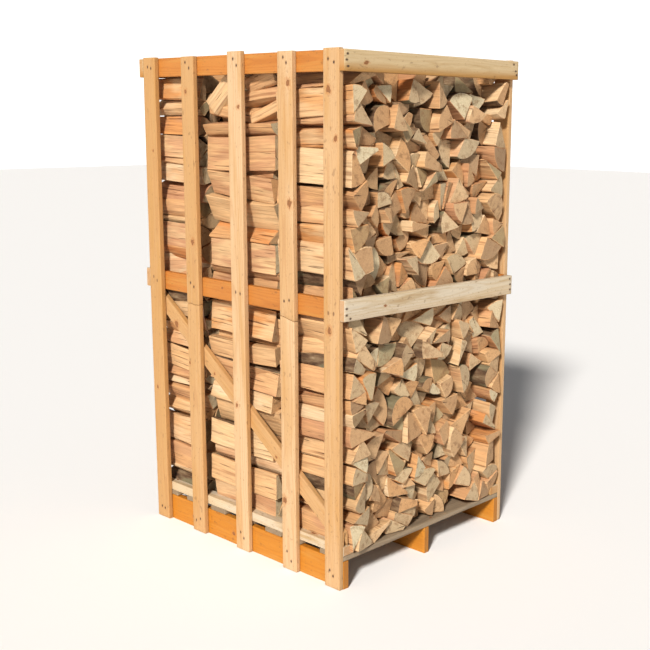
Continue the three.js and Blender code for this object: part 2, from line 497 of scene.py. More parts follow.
DETAIL = {  # points round a log, sections along it, and how much is cut off its corners
    "near": (38, 23, 0.0025),
    "end": (30, 8, 0.0025),
    "hidden": (26, 2, 0.001),
}
SEEN_CAP = (0.93, 0.5)  # sizes of the rings on a sawn end, which has none where it is hidden
BARKED_OUTSIDE, BARKED_INSIDE = 0.16, 0.45  # the share of logs that keep their bark
OPEN_SLANT, HIDDEN_SLANT = 0.16, 0.06  # how far from square the sawn ends are
EDGE_BEVEL = 0.0015
GRAIN_SPACING = 3.0  # how far apart two logs' grain coordinates are kept, so that no two match
BEND = 0.0025
BEVEL_SHARE = 0.004  # of a log's length, between the close pair of rings at each end
FADE = 0.004  # how near an end the relief gets weaker
TAPERS, TAPER_ODDS = (0.0, 0.03, 0.14), (0.6, 0.25, 0.15)  # how much thinner one end is


def section_shares(count, detail, open_end):
    """Shares along a log where its rings are, with a close pair at each end for the bevelled edge."""
    if detail == "hidden":
        return np.array((0.0, 1.0))
    inner = np.linspace(0, 1, count - 2)
    if detail == "end":
        inner = inner**2.2 if open_end == "low" else 1 - (1 - inner[::-1]) ** 2.2
        inner = np.sort(inner)
    return np.concatenate(([0, BEVEL_SHARE], inner[1:-1], [1 - BEVEL_SHARE, 1]))


def log_relief(points, bark, seed):
    """How far each point of a log's sides stands out: long torn fibres on wood, scales on bark.

    Points are (along, across, across) in metres."""
    shift = seed * np.array((7.31, 3.77, 5.13))
    broad = value_noise(points * (6, 26, 26) + shift)
    ridges = value_noise(points * (9, 95, 95) + shift * 2)
    fibres = value_noise(points * (14, 260, 260) + shift * 3)
    wood = 0.0030 * broad + 0.0017 * ridges + 0.0005 * fibres
    scales = value_noise(points * (45, 90, 90) + shift * 4)
    return np.where(bark > 0.5, 0.0012 * broad + 0.0012 * scales, wood)


def log_mesh(log, start, end, detail, open_end, rng):
    """A log from start to end along X, as points, faces and vertex values."""
    is_open = [open_end == name for name in ("low", "high")]
    ring, sections, cut = DETAIL[detail]
    outline, normals, bark = spaced_outline(log["corners"], log["bark"], ring, cut)
    shares = section_shares(sections, detail, open_end)
    length = end - start
    seed = rng.uniform(0, 50)
    bend = rng.normal(0, BEND, 2)
    slant = np.clip(rng.normal(0, 1, (2, 2)), -2, 2)
    slant = slant * np.where(is_open, OPEN_SLANT, HIDDEN_SLANT)[:, None]
    taper = rng.choice(TAPERS, p=TAPER_ODDS) * rng.choice((-1, 1))
    size = FINAL_SCALE * (1 - np.clip(taper * (shares - 0.5) * 2, 0, 1) ** 1.5)
    share = shares[:, None]
    angle = log["angles"][0] * (1 - shares) + log["angles"][1] * shares
    place = log["places"][0] * (1 - share) + log["places"][1] * share
    place = place + bend * np.sin(np.pi * share)
    along = start + length * share + np.zeros(len(outline))
    local = outline * size[:, None, None]
    if detail != "hidden":
        relief = log_relief(np.concatenate([along[..., None], local], 2), bark, seed)
        fade = np.minimum(1, np.minimum(shares, 1 - shares) * length / FADE)
        relief *= 0.4 + 0.6 * fade[:, None]
        relief[[0, -1]] -= EDGE_BEVEL
        local = local + normals * relief[..., None]
    tilt = (local @ slant[0]) * (1 - share) ** 8 + (local @ slant[1]) * share**8
    c, s = np.cos(angle)[:, None], np.sin(angle)[:, None]
    y = local[..., 0] * c - local[..., 1] * s + place[:, 0:1]
    z = local[..., 0] * s + local[..., 1] * c + place[:, 1:2]
    seen = [detail == "near" or (detail == "end" and end_is_open) for end_is_open in is_open]
    caps = [SEEN_CAP if end_seen else () for end_seen in seen]
    points, faces, section, on_end = loft(np.stack([along + tilt, y, z], 2), *caps)
    # Grain coordinates: across the rings from the pith, and along the log.
    flat = points[:, 1:] - place[section]
    c, s = np.cos(angle[section]), np.sin(angle[section])
    x = flat[:, 0] * c + flat[:, 1] * s - log["pith"][0]
    y = flat[:, 1] * c - flat[:, 0] * s - log["pith"][1]
    grain = np.stack([x, y, points[:, 0] + log["number"] * GRAIN_SPACING], 1)
    bark_values = np.zeros(len(points))
    bark_values[: along.size] = np.tile(bark, len(shares))
    return points, faces, {"grain": grain, "bark": bark_values, "sawn": on_end}


# How far in from the end slats the outer ends of logs are, in the open and behind a rail.
OUTER_ENDS = {
    "inside": ((0.005, 0.078), (0.028, 0.080)),
    "panel": ((-0.004, 0.006), (0.014, 0.024)),
    "front": ((-0.002, 0.012), (0.018, 0.030)),
}
INNER_ENDS = (-0.002, 0.034)
RAIL_ROOM = 0.06  # logs this far above or below a rail are behind it too
DEEP_ODDS, DEEPER = 0.15, 0.035  # some logs stop further in than the others


def log_ends(bay, place, ends, rails, beside_panel, beside_front, rng):
    """Where a log starts and ends along X. The outer ends of the end bays vary the most."""
    start = ends[0] + rng.uniform(*INNER_ENDS)
    end = ends[1] - rng.uniform(*INNER_ENDS)
    behind_rail = any(low.z - RAIL_ROOM < place[1] < high.z + RAIL_ROOM for low, high in rails)
    outer = rng.uniform(*OUTER_ENDS["inside"][behind_rail])
    if beside_panel:
        outer = rng.uniform(*OUTER_ENDS["panel"][behind_rail])
    elif bay == "left" and beside_front:
        outer = rng.uniform(*OUTER_ENDS["front"][behind_rail])
    elif rng.random() < DEEP_ODDS:
        outer += DEEPER
    if bay == "left":
        start = ends[0] + outer
    if bay == "right":
        end = ends[1] - outer
    return start, end


# Logs thrown in on top of a bay, most of them behind the front panel: the middle of each, its tilt
# and turn in degrees, its length and half its thickness.
LOOSE_LOGS = {
    "left": (),
    "middle": (
        ((-0.128, -0.412, 1.868), 43, 4, 0.22, 0.048),
        ((0.085, -0.422, 1.900), 15, -5, 0.18, 0.038),
        ((0.066, -0.410, 1.836), 8, 3, 0.22, 0.040),
        ((-0.100, -0.405, 1.784), -7, -3, 0.28, 0.038),
        ((0.100, -0.412, 1.772), 20, 5, 0.15, 0.036),
    ),
    "right": (((0.372, 0.402, 1.928), 2, 1, 0.35, 0.040),),
}
LOOSE_ABOVE, LOOSE_DEPTH = 1.765, 0.10  # packed logs above and in front of these make room for them
OPEN_ENDS = {"left": "low", "middle": "", "right": "high"}  # which ends of a bay's logs can be seen
WALL_GAP = 0.002
SEEN_DEPTH, FRONT_DEPTH, TOP_LAYER = 0.025, 0.26, 0.16  # how far in logs still count as outer ones


def loose_log(number, middle, tilt, turn, length, size, rng):
    """One log with its own direction, as points, faces and vertex values."""
    turns = np.sort((np.arange(5) + rng.uniform(-0.3, 0.3, 5)) * 2 * np.pi / 5)
    corners = size * np.stack([np.cos(turns), np.sin(turns)], 1) * rng.uniform(0.9, 1.1, (5, 1))
    still = np.zeros(2)
    log = {
        "corners": corners,
        "bark": [0] * 5,
        "pith": rng.normal(0, 0.05, 2),
        "places": (still, still),
        "angles": (0.0, 0.08),
        "number": number,
    }
    points, faces, values = log_mesh(log, -length / 2, length / 2, "near", "", rng)
    pose = Matrix.Rotation(math.radians(turn), 3, "Z") @ Matrix.Rotation(math.radians(-tilt), 3, "Y")
    return points @ np.array(pose).T + np.array(middle), faces, values


def make_bay(bay, first_number, rails, floor, roof, rng):
    """The logs of one bay, as a piece for each of its courses. Returns how many logs it numbered."""
    boxes = [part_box(f"logs_{bay}_{course}") for course in COURSES]
    low = np.array((boxes[1][0].y, floor)) + WALL_GAP
    high = np.array((boxes[1][1].y - WALL_GAP, roof))
    ends = min(box[0].x for box in boxes), max(box[1].x for box in boxes)
    limits = [box[1].z for box in boxes]
    parts = [MeshParts() for _ in COURSES]
    logs = stack_bay(low, high, SETBACK[bay], rng)
    for number, log in enumerate(logs, first_number):
        log["number"] = number
        place = (log["places"][0] + log["places"][1]) / 2
        if bay == "middle" and place[0] < low[0] + LOOSE_DEPTH and place[1] > LOOSE_ABOVE:
            continue
        reach = np.linalg.norm(log["corners"], axis=1).max()
        beside_panel = min(place[0] - low[0], high[0] - place[0]) < reach + SEEN_DEPTH
        detail = "hidden" if bay == "middle" else "end"
        if beside_panel or place[1] > high[1] - TOP_LAYER:
            detail = "near"
        if rng.random() > (BARKED_OUTSIDE if beside_panel else BARKED_INSIDE):
            log["bark"] = [0] * len(log["bark"])
        beside_front = place[0] < low[0] + FRONT_DEPTH
        start, end = log_ends(bay, place, ends, rails, beside_panel, beside_front, rng)
        points, faces, values = log_mesh(log, start, end, detail, OPEN_ENDS[bay], rng)
        course = min(int(np.searchsorted(limits, place[1])), len(parts) - 1)
        parts[course].add(points, faces, tone=rng.uniform(0, 1), blush=rng.uniform(0, 1), **values)
    for i, spec in enumerate(LOOSE_LOGS[bay]):
        points, faces, values = loose_log(first_number + len(logs) + i, *spec, rng)
        parts[-1].add(points, faces, tone=rng.uniform(0.1, 0.5), blush=rng.uniform(0, 1), **values)
    for course, part in zip(COURSES, parts):
        node = f"logs_{bay}_{course}"
        finish_piece(part.build(f"split_{node}", MATERIALS["log"]), node)
    return len(logs) + len(LOOSE_LOGS[bay])


def make_logs():
    rails = [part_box(f"rail_right_{place}") for place in ("top", "middle")]
    floor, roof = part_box("logs_middle_1")[0].z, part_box("logs_middle_8")[1].z + TOP_RISE
    number = 0
    for i, bay in enumerate(BAYS):
        number += make_bay(bay, number, rails, floor, roof, np.random.default_rng(SEED + i))


def finish_piece(piece, node):
    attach(piece, BODY)
    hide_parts(node)


# --- Boards ---

X, Y, Z = 0, 1, 2
SECTION_STEP = 0.017
BOARD_ROUNDING = 0.0022
BOARD_CAP = (0.9, 0.4)
FACE_POINTS, EDGE_POINTS = 9, 3  # along the wide and the narrow sides of a board's cross-section
NAIL_RADIUS = 0.0028
NAIL_DISC = ((-0.0015, 1.0), (0.0003, 1.0), (0.0006, 0.8))  # depth over the face, and share of the radius
NAIL_MARKS = ("nail_a", "nail_b", "nail_c")
MARK_REACH = 0.07  # marks further off than this don't show
KNOT_RADII = (0.003, 0.004, 0.006, 0.009)
NAIL_ROOM = (0.010, 0.012)  # least distance of a nail from a board's sides and ends
END_BEVEL = 0.0025
BROAD_WEAR, FINE_WEAR, END_WEAR, CHIP_DEPTH = 0.0006, 0.0003, 0.0012, 0.0035


def hull_outline(points):
    """The corners of a convex set of flat points, in order round its middle."""
    unique = np.unique(np.round(points, 6), axis=0)
    middle = unique.mean(0)
    order = np.argsort(np.arctan2(unique[:, 1] - middle[1], unique[:, 0] - middle[0]))
    return unique[order]


class BoardShape:
    """The straight lines of a CAD board: its flat outline seen along thin, and its axes.

    Places on a board are (across, along, depth) in metres from the board's middle."""

    def __init__(self, node, thin):
        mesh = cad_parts[node].data
        points = np.empty(len(mesh.vertices) * 3)
        mesh.vertices.foreach_get("co", points)
        points = points.reshape(-1, 3)
        flat_axes = [axis for axis in (X, Y, Z) if axis != thin]
        outline = hull_outline(points[:, flat_axes])
        edges = np.roll(outline, -1, 0) - outline
        longest = edges[np.argmax(np.linalg.norm(edges, axis=1))]
        along = longest / np.linalg.norm(longest)
        if along[np.argmax(abs(along))] < 0:
            along = -along
        self.along, self.across, self.thin = np.zeros(3), np.zeros(3), np.zeros(3)
        self.along[flat_axes] = along
        self.across[flat_axes] = (along[1], -along[0])
        self.thin[thin] = 1
        if np.dot(np.cross(self.across, self.thin), self.along) < 0:
            self.across = -self.across
        self.middle = (points.min(0) + points.max(0)) / 2
        local = points - self.middle
        self.outline = hull_outline(np.stack([local @ self.across, local @ self.along], 1))
        self.width = np.ptp(self.outline[:, 0])
        self.length = np.ptp(self.outline[:, 1])
        self.left = self.outline[:, 0].min()
        self.thickness = np.ptp(local @ self.thin)

    def ends_at(self, across):
        """Where the board starts and ends, at each place across it."""
        low, high = np.full(len(across), np.inf), np.full(len(across), -np.inf)
        ahead = np.roll(self.outline, -1, 0)
        for (a0, l0), (a1, l1) in zip(self.outline, ahead):
            if abs(a1 - a0) < 1e-6:
                continue
            share = (across - a0) / (a1 - a0)
            on_edge = (share >= -1e-4) & (share <= 1 + 1e-4)
            crossing = l0 + (l1 - l0) * share
            low = np.where(on_edge, np.minimum(low, crossing), low)
            high = np.where(on_edge, np.maximum(high, crossing), high)
        return low, high

    def world(self, across, along, depth):
        parts = ((across, self.across), (along, self.along), (depth, self.thin))
        return self.middle + sum(value[..., None] * axis for value, axis in parts)

    def place_of(self, point):
        """(across, along) of a point given in the crate's own axes."""
        local = np.array(point) - self.middle
        return local @ self.across, local @ self.along


def rounded_rectangle(width, thickness, rounding):
    """Points and outward directions round a board's cross-section, counted evenly on each side."""
    half_w, half_t = width / 2, thickness / 2
    corners = ((half_w, -half_t), (half_w, half_t), (-half_w, half_t), (-half_w, -half_t))
    points, normals = [], []
    for i, (cx, cy) in enumerate(corners):
        middle = np.array((cx - math.copysign(rounding, cx), cy - math.copysign(rounding, cy)))
        for turn in (0, 0.5, 1):
            angle = (i - 1 + turn) * math.pi / 2
            direction = np.array((math.cos(angle), math.sin(angle)))
            points.append(middle + direction * rounding)
            normals.append(direction)
        nx, ny = corners[(i + 1) % 4]
        following = np.array((nx - math.copysign(rounding, nx), ny - math.copysign(rounding, ny)))
        direction = np.array((math.cos(i * math.pi / 2), math.sin(i * math.pi / 2)))
        count = FACE_POINTS if i % 2 else EDGE_POINTS
        for share in np.arange(1, count + 1) / (count + 1):
            points.append(middle + (following - middle) * share + direction * rounding)
            normals.append(direction)
    return np.array(points), np.array(normals)


def nearest_marks(across, along, marks):
    """For each point the nearest mark's place, and its size where the point is within reach of it."""
    values = np.zeros((len(across), 3), np.float32)
    if not marks:
        return values
    marks = np.array(marks)
    distance = np.hypot(across[:, None] - marks[None, :, 0], along[:, None] - marks[None, :, 1])
    nearest = distance.argmin(1)
    values[:] = marks[nearest]
    values[:, 2] *= distance.min(1) < MARK_REACH
    return values


def unmarked(points):
    """Vertex values for a small piece that no knot or nail marks."""
    blank = {name: np.zeros((len(points), 3)) for name in ("spot", "knot", *NAIL_MARKS)}
    return {"grain": points, "rise": 1.0, "sawn": 0.0, **blank}


def nail_head(shape, across, along, side):
    """A low steel disc, sunk until it barely shows over the face of the board."""
    turns = np.linspace(0, 2 * np.pi, 12, endpoint=False)
    rings = []
    for depth, size in NAIL_DISC:
        ring_across = across + NAIL_RADIUS * size * np.cos(turns)
        ring_along = along + NAIL_RADIUS * size * np.sin(turns)
        out = np.full(len(turns), side * (shape.thickness / 2 + depth))
        rings.append(shape.world(ring_across, ring_along, out))
    rings = np.array(rings)
    return loft(rings if side > 0 else rings[:, ::-1])


def make_board(node, thin, slot, knots=(), nails=(), nail_side=1, bow=0.0, joint=None, tone=None):
    """A board in place of a CAD node: rounded and worn edges, a slight bow, nails and knots.

    knots are (across, along, radius) and nails are lists of (across, along), from the middle."""
    shape = BoardShape(node, thin)
    rng = np.random.default_rng(SEED + sum(map(ord, node)))
    section, outward = rounded_rectangle(shape.width, shape.thickness, BOARD_ROUNDING)
    centre = shape.left + shape.width / 2
    across = np.clip(section[:, 0] + centre, shape.left + 1e-5, shape.left + shape.width - 1e-5)
    low, high = shape.ends_at(across)
    if joint:
        end, slope, tear = joint
        ragged = value_noise(np.stack([across * 90, across * 0, across * 0], 1)) * tear
        step = slope * (across - centre) + ragged
        low, high = (low + step, high) if end == "bottom" else (low, high + step)
    count = max(4, int(shape.length / SECTION_STEP))
    edge = END_BEVEL / shape.length
    shares = np.concatenate(([0, edge], np.linspace(0, 1, count)[1:-1], [1 - edge, 1]))[:, None]
    along = low + (high - low) * shares
    across = np.broadcast_to(across, along.shape)
    depth = np.broadcast_to(section[:, 1], along.shape)
    sample = np.stack([across * 9, depth * 9, along * 3], 2) + rng.uniform(0, 50)
    fine = np.stack([across * 160, depth * 160, along * 22], 2) + rng.uniform(0, 50)
    corner = np.abs(outward).min(1) > 0.3
    wear = BROAD_WEAR * (1 + value_noise(sample)) / 2 + FINE_WEAR * (1 + value_noise(fine)) / 2
    chips = np.clip(value_noise(sample * 7) - 0.35, 0, 1) * CHIP_DEPTH
    inward = wear + chips * corner
    inward[[0, -1]] += END_WEAR
    across = across - outward[:, 0] * inward
    depth = depth - outward[:, 1] * inward + bow * np.sin(np.pi * (shares - 0.02))
    rings = shape.world(across, along, depth)
    points, faces, _, on_end = loft(rings, BOARD_CAP, BOARD_CAP)
    local = points - shape.middle
    place = np.stack([local @ shape.across - centre, local @ shape.along, local @ shape.thin], 1)
    pith = np.array((rng.uniform(-0.03, 0.03), rng.uniform(0.025, 0.07) * rng.choice((-1, 1))))
    grain = np.stack(
        [place[:, 0] - pith[0], place[:, 2] - pith[1], place[:, 1] + rng.uniform(0, 90)], 1
    )
    up = np.sign(shape.across[Z]) or 1
    values = {
        "grain": grain,
        "spot": place,
        "rise": place[:, 0] * up / shape.width + 0.5,
        "knot": nearest_marks(place[:, 0], place[:, 1], knots),
        "tone": rng.uniform(0, 1) if tone is None else tone,
        "sawn": on_end,
        "metal": 0.0,
    }
    for i, name in enumerate(NAIL_MARKS):
        group = [(a - centre, l, NAIL_RADIUS) for a, l in nails[i]] if i < len(nails) else ()
        values[name] = nearest_marks(place[:, 0], place[:, 1], group)
    part = MeshParts()
    part.add(points, faces, **values)
    for group in nails:
        for nail_across, nail_along in group:
            head, head_faces, _, _ = nail_head(shape, nail_across, nail_along, nail_side)
            part.add(head, head_faces, tone=0.5, metal=1.0, **unmarked(head))
    finish_piece(part.build(f"wood_{node}", MATERIALS[slot]), node)


def crossing_nails(node, thin, others, rng, count=2, spread=0.011):
    """Nail places on a board where it crosses others, as one list for each nail of a crossing."""
    shape = BoardShape(node, thin)
    low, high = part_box(node)
    side, end = shape.width / 2 - NAIL_ROOM[0], shape.length / 2 - NAIL_ROOM[1]
    groups = [[] for _ in range(count)]
    for other in others:
        other_low, other_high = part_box(other)
        overlap_low = [max(low[axis], other_low[axis]) for axis in (X, Y, Z)]
        overlap_high = [min(high[axis], other_high[axis]) for axis in (X, Y, Z)]
        centre = [(overlap_low[axis] + overlap_high[axis]) / 2 for axis in (X, Y, Z)]
        span = [max(0, overlap_high[axis] - overlap_low[axis]) for axis in (X, Y, Z)]
        if all(span[axis] > 0 for axis in (X, Y, Z) if axis != thin):
            across, along = shape.place_of(centre)
            for i, group in enumerate(groups):
                step = (i - (count - 1) / 2) * spread * 2
                slip = rng.normal(0, 0.004, 2)
                nail_across = across + step + slip[0]
                nail_along = along - step * 0.7 + slip[1] * 2
                group.append((np.clip(nail_across, -side, side), np.clip(nail_along, -end, end)))
    return groups


def scattered_knots(node, thin, rng, each=0.33):
    """Knots along a board, about one to each stretch of the given length."""
    shape = BoardShape(node, thin)
    knots = []
    along = -shape.length / 2 + rng.uniform(0.05, each)
    while along < shape.length / 2 - 0.05:
        across = rng.uniform(-0.42, 0.42) * shape.width
        knots.append((across, along, rng.choice(KNOT_RADII)))
        along += rng.uniform(0.6, 1.5) * each
    return knots


def panel_slats(panel):
    return [node for node in sorted(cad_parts) if node.startswith(f"slat_{panel}")]


# A butt joint's end of the board, its slope across the slat and how ragged its saw cut is.
JOINTS = {
    "slat_front_2_lower": ("top", 0.0, 0.0034),
    "slat_front_2_upper": ("bottom", 0.0, 0.0034),
    "slat_front_4_lower": ("top", -0.2, 0.0006),
    "slat_front_4_upper": ("bottom", -0.2, 0.0006),
}
# How deep each front slat's colour is, from pale to yellow-brown.
FRONT_TONES = {
    "slat_front_1": 0.95,
    "slat_front_2_upper": 0.8,
    "slat_front_2_lower": 0.7,
    "slat_front_3": 0.05,
    "slat_front_4_upper": 0.12,
    "slat_front_4_lower": 0.1,
    "slat_front_5": 0.42,
}
# Knots on the front slats that stand out: how far up, and how far across from the middle.
FRONT_KNOTS = {
    "slat_front_1": ((1.62, 0.012, 0.004), (0.60, -0.01, 0.005)),
    "slat_front_2_upper": ((1.86, -0.012, 0.006), (1.26, 0.008, 0.007)),
    "slat_front_3": ((1.80, 0.022, 0.005), (0.62, -0.02, 0.006)),
    "slat_front_4_upper": ((1.885, 0.018, 0.008), (1.45, 0.022, 0.009)),
    "slat_front_5": ((1.86, -0.014, 0.009), (1.69, 0.022, 0.007), (1.0, -0.012, 0.008)),
}
SPLINTER_SIZE, SPLINTER_TONE = 0.0032, -0.3


def make_panel(panel, side):
    rng = np.random.default_rng(SEED + side + 60)
    rails = (f"rail_{panel}_top", f"rail_{panel}_middle", f"stringer_{panel}")
    for node in panel_slats(panel):
        shape = BoardShape(node, Y)
        knots = scattered_knots(node, Y, rng, each=0.8)
        if node in FRONT_KNOTS:
            knots = []
            for height, across, radius in FRONT_KNOTS[node]:
                knots.append((across, height - shape.middle[Z], radius))
        nails = crossing_nails(node, Y, rails, rng)
        bow = side * rng.uniform(0.0006, 0.0020)
        make_board(node, Y, "slat", knots, nails, side, bow, JOINTS.get(node), FRONT_TONES.get(node))
    for node in rails[:2]:
        make_board(node, Y, "rail", scattered_knots(node, Y, rng, each=0.6))
    make_board(f"sill_{panel}", Z, "side_rail", scattered_knots(f"sill_{panel}", Z, rng))
    make_board(f"brace_{panel}", Y, "slat", scattered_knots(f"brace_{panel}", Y, rng, each=0.4))


def make_splinter():
    """A pale sliver torn from the second slat at its joint. It hangs down to the brace."""
    _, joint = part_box("slat_front_2_lower")
    brace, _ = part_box("brace_front")
    share = np.linspace(0, 1, 12)[:, None]
    turns = np.linspace(0, 2 * np.pi, 6, endpoint=False)
    top = np.array((joint.x - 0.003, joint.y, joint.z - 0.012))
    foot = np.array((joint.x + 0.040, brace.y - 0.001, joint.z - 0.128))
    sag = np.array((-0.010, -0.002, 0.0)) * np.sin(np.pi * share)
    line = top + (foot - top) * share + sag
    size = SPLINTER_SIZE * (1.1 - share**3)
    across = size[..., None] * np.stack([np.cos(turns), np.sin(turns) * 0.6, turns * 0], 1)
    rings = line[:, None, :] + across
    points, faces, _, _ = loft(rings[::-1])
    part = MeshParts()
    part.add(points, faces, tone=SPLINTER_TONE, metal=0.0, **unmarked(points))
    splinter = part.build("splinter_front", MATERIALS["slat"])
    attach(splinter, BODY)


def make_side_rails(name, side, slat_number):
    rng = np.random.default_rng(SEED + side + 90)
    ends = (f"slat_front_{slat_number}", f"slat_back_{slat_number}")
    for node, tone in ((f"rail_{name}_top", 0.9), (f"rail_{name}_middle", 0.15)):
        nails = crossing_nails(node, X, ends, rng, count=3, spread=0.010)
        knots = scattered_knots(node, X, rng, each=0.8)
        make_board(node, X, "side_rail", knots, nails, side, tone=tone)


def make_pallet():
    rng = np.random.default_rng(SEED + 120)
    stringers = [f"stringer_{place}" for place in ("front", "middle", "back")]
    for node in stringers:
        make_board(node, Y, "pallet", scattered_knots(node, Y, rng))
    for number in range(1, 8):
        node = f"deck_board_{number}"
        nails = crossing_nails(node, Z, stringers, rng)
        make_board(node, Z, "deck", scattered_knots(node, Z, rng), nails, 1)


# --- Materials ---

MATERIALS = {}
SUNLIT = 1.68  # how much brighter a face turned to the key light looks than its own colour


def colour(red, green, blue):
    """The surface colour of something that looks like these screen values when it is lit."""
    linear = []
    for value in (red / 255, green / 255, blue / 255):
        straight = ((value + 0.055) / 1.055) ** 2.4 if value > 0.04045 else value / 12.92
        linear.append(straight / SUNLIT)
    return (*linear, 1)


class Graph:
    """A short way to write a material's nodes. Inputs are sockets or plain values."""

    def __init__(self, name):
        self.material = bpy.data.materials.new(name)
        self.material.use_nodes = True
        self.tree = self.material.node_tree
        self.shader = self.tree.nodes["Principled BSDF"]
        MATERIALS[name] = self.material

    def node(self, kind, inputs, **settings):
        node = self.tree.nodes.new("ShaderNode" + kind)
        for key, value in settings.items():
            setattr(node, key, value)
        for key, value in inputs.items():
            self.feed(node.inputs[key], value)
        return node

    def feed(self, socket, value):
        if isinstance(value, bpy.types.NodeSocket):
            self.tree.links.new(value, socket)
        else:
            socket.default_value = value

    def value(self, name):
        return self.node("Attribute", {}, attribute_name=name).outputs["Fac"]

    def vector(self, name):
        return self.node("Attribute", {}, attribute_name=name).outputs["Vector"]

    def split(self, vector):
        return self.node("SeparateXYZ", {"Vector": vector}).outputs

    def math(self, operation, a, b=0.0, c=0.0):
        return self.node("Math", {0: a, 1: b, 2: c}, operation=operation).outputs[0]

    def plus(self, a, b):
        return self.math("ADD", a, b)

    def minus(self, a, b):
        return self.math("SUBTRACT", a, b)

    def times(self, a, b):
        return self.math("MULTIPLY", a, b)

    def wave(self, value, length):
        return self.math("SINE", self.times(value, 2 * math.pi / length))

    def length(self, a, b):
        return self.math("SQRT", self.plus(self.times(a, a), self.times(b, b)))

    def noise(self, vector, scales, detail=2.0, roughness=0.5):
        stretched = self.node("VectorMath", {0: vector, 1: scales}, operation="MULTIPLY").outputs[0]
        inputs = {"Vector": stretched, "Scale": 1.0, "Detail": detail, "Roughness": roughness}
        return self.node("TexNoise", inputs).outputs[0]

    def range(self, value, low, high, to_low=0.0, to_high=1.0):
        inputs = {"Value": value, "From Min": low, "From Max": high, "To Min": to_low, "To Max": to_high}
        return self.node("MapRange", inputs, interpolation_type="SMOOTHSTEP").outputs[0]

    def ramp(self, value, stops):
        """Colours along a value from 0 to 1. Stops are (place, red, green, blue) as on a screen."""
        node = self.node("ValToRGB", {"Fac": value})
        elements = node.color_ramp.elements
        for i, (place, *tint) in enumerate(stops):
            element = elements[i] if i < 2 else elements.new(place)
            element.position, element.color = place, colour(*tint)
        return node.outputs["Color"]

    def mix(self, share, a, b, blend="MIX"):
        node = self.node("MixRGB", {"Fac": share, "Color1": a, "Color2": b}, blend_type=blend)
        return node.outputs[0]

    def shade(self, tint, value, dark, bright):
        """Multiplies a colour by a grey that goes from dark to bright with the value."""
        grey = self.node("MapRange", {"Value": value, "To Min": dark, "To Max": bright}).outputs[0]
        factor = self.node("CombineColor", {0: grey, 1: grey, 2: grey}).outputs[0]
        return self.mix(1.0, tint, factor, "MULTIPLY")

    def finish(self, tint, roughness, height, distance):
        self.feed(self.shader.inputs["Base Color"], tint)
        self.feed(self.shader.inputs["Roughness"], roughness)
        bump = self.node("Bump", {"Height": height, "Strength": 1.0, "Distance": distance})
        self.feed(self.shader.inputs["Normal"], bump.outputs[0])


# Colours of the logs by their tone or blush: a place from 0 to 1, then red, green and blue.
SPLIT_TONES = (
    (0.0, 218, 164, 124),
    (0.2, 240, 189, 138),
    (0.5, 251, 210, 160),
    (0.78, 255, 226, 186),
    (0.9, 242, 178, 114),
    (1.0, 226, 150, 90),
)
SPLIT_BLUSHES = ((0.0, 218, 162, 124), (0.5, 246, 194, 138), (1.0, 252, 216, 170))
SAWN_TONES = (
    (0.0, 252, 210, 162),
    (0.2, 228, 184, 138),
    (0.4, 255, 238, 200),
    (0.6, 254, 200, 144),
    (0.8, 208, 172, 134),
    (1.0, 255, 228, 184),
)
BARK_TONES = ((0.25, 66, 46, 34), (0.45, 120, 92, 68), (0.6, 160, 134, 104), (0.75, 190, 172, 142))
LOG_RING, BOARD_RING = 0.0042, 0.0062  # width of a year's growth
SAW_MARK = 0.0041888  # distance between a saw's marks


def split_wood_colour(g, grain, tone, blush, fibre, streak, crack_and_shade):
    """The torn faces of a log, from pale cream to orange and pinkish brown."""
    first = g.ramp(tone, SPLIT_TONES)
    second = g.ramp(blush, SPLIT_BLUSHES)
    broad = g.noise(grain, (22, 22, 5), detail=2.0)
    tint = g.mix(g.range(broad, 0.38, 0.62, 0.0, 0.75), first, second)
    tint = g.shade(tint, streak, 0.62, 1.38)
    tint = g.shade(tint, fibre, 0.66, 1.34)
    dark_vein = g.range(g.noise(grain, (75, 75, 3), detail=1.0), 0.60, 0.72, 0.0, 0.45)
    tint = g.mix(dark_vein, tint, colour(150, 92, 52))
    # Painted shade: cracks are painted dark brown for the shade inside them, besides their dent in the
    # bump.
    return g.mix(g.range(crack_and_shade, 0.0, 1.0, 0.0, 0.7), tint, colour(112, 70, 42))


def sawn_end_colour(g, grain, tone, blush):
    """The sawn ends: growth rings, a check from the pith in painted shade, saw marks and some greying."""
    x, y, _ = g.split(grain)
    wander = g.noise(grain, (30, 30, 1), detail=1.0)
    distance = g.plus(g.length(x, y), g.times(wander, 0.010))
    ring = g.wave(distance, LOG_RING)
    base = g.ramp(g.math("FRACT", g.times(tone, 7.3)), SAWN_TONES)
    greyed = g.range(g.math("FRACT", g.times(blush, 9.1)), 0.88, 0.94, 0.0, 0.6)
    base = g.mix(greyed, base, colour(176, 162, 122))
    base = g.shade(base, g.range(ring, -0.4, 1.0), 0.84, 1.08)
    heart = g.times(g.range(distance, 0.030, 0.012), g.range(blush, 0.45, 0.6, 0.0, 0.6))
    base = g.mix(heart, base, colour(170, 112, 66))
    dirt = g.noise(grain, (42, 42, 1), detail=4.0, roughness=0.65)
    base = g.mix(g.range(dirt, 0.50, 0.70, 0.0, 0.60), base, colour(168, 126, 88))
    grit = g.noise(grain, (210, 210, 1), detail=3.0, roughness=0.7)
    base = g.shade(base, grit, 0.70, 1.30)
    saw = g.wave(g.plus(x, g.times(y, 0.35)), SAW_MARK)
    base = g.shade(base, g.range(saw, -1.0, 1.0), 0.93, 1.05)
    crooked = g.times(g.minus(wander, 0.5), 0.008)
    check = g.math("ABSOLUTE", g.plus(g.math("MULTIPLY_ADD", y, 0.6, x), crooked))
    open_check_and_shade = g.times(g.range(check, 0.0013, 0.0005), g.range(distance, 0.055, 0.030))
    height = g.math("MULTIPLY_ADD", ring, 0.10, g.plus(dirt, g.times(grit, 0.6)))
    height = g.minus(height, g.times(open_check_and_shade, 1.6))
    # Painted shade: the open check is painted near black for the shade inside the crack, besides its dent
    # in the bump.
    return g.mix(open_check_and_shade, base, colour(78, 50, 32)), height


